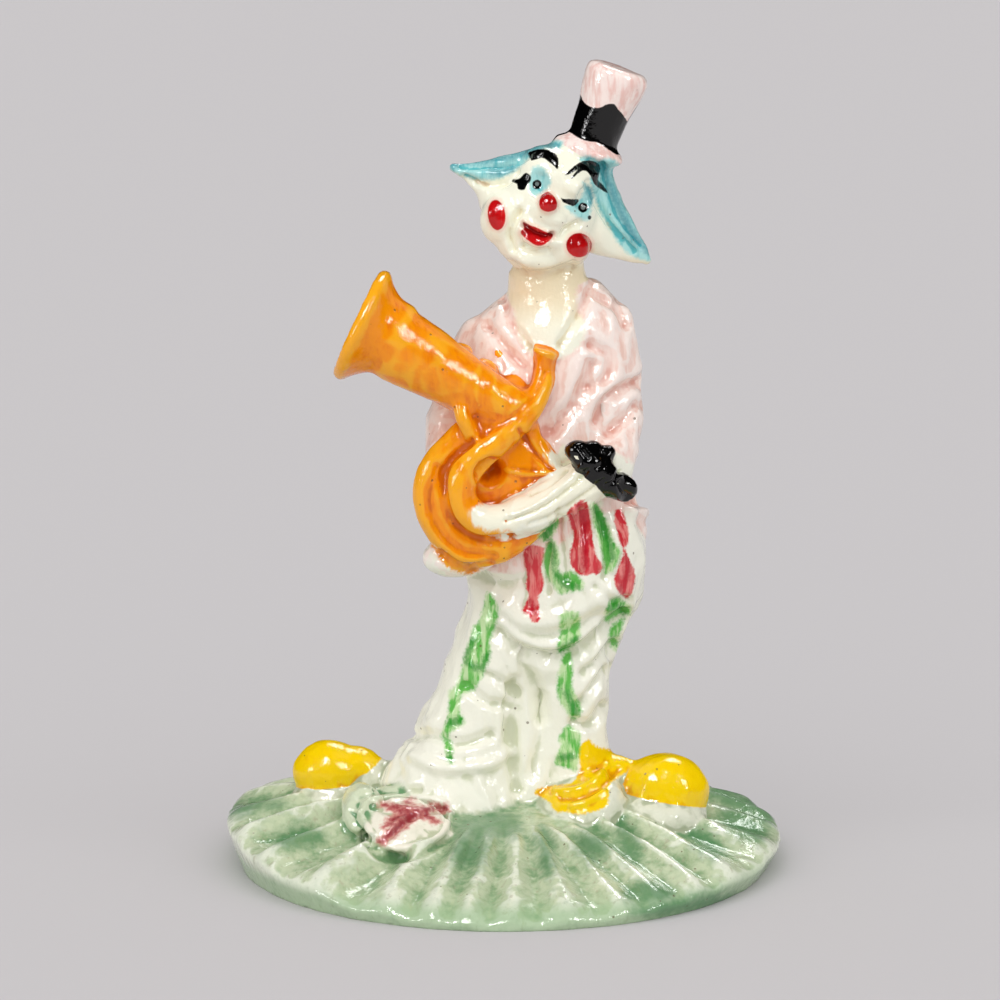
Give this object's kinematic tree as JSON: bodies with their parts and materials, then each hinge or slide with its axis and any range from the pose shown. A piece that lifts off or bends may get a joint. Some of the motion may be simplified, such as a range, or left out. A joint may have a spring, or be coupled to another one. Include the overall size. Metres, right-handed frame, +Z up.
{
  "type": "clown figurine",
  "caption": "Glazed ceramic clown in a small top hat playing a big horn, standing on a fluted round base.",
  "frame": {"origin": "centre of the flat underside of the round base", "axes": "+Z up through the figure, -Y the way the clown faces, +X towards the clown's left hand"},
  "size_m": [0.125, 0.1248, 0.1811],
  "materials": {
    "glaze": "glossy"
  },
  "bodies": {
    "root": {"clown_figurine": "glaze"}
  },
  "joints": []
}
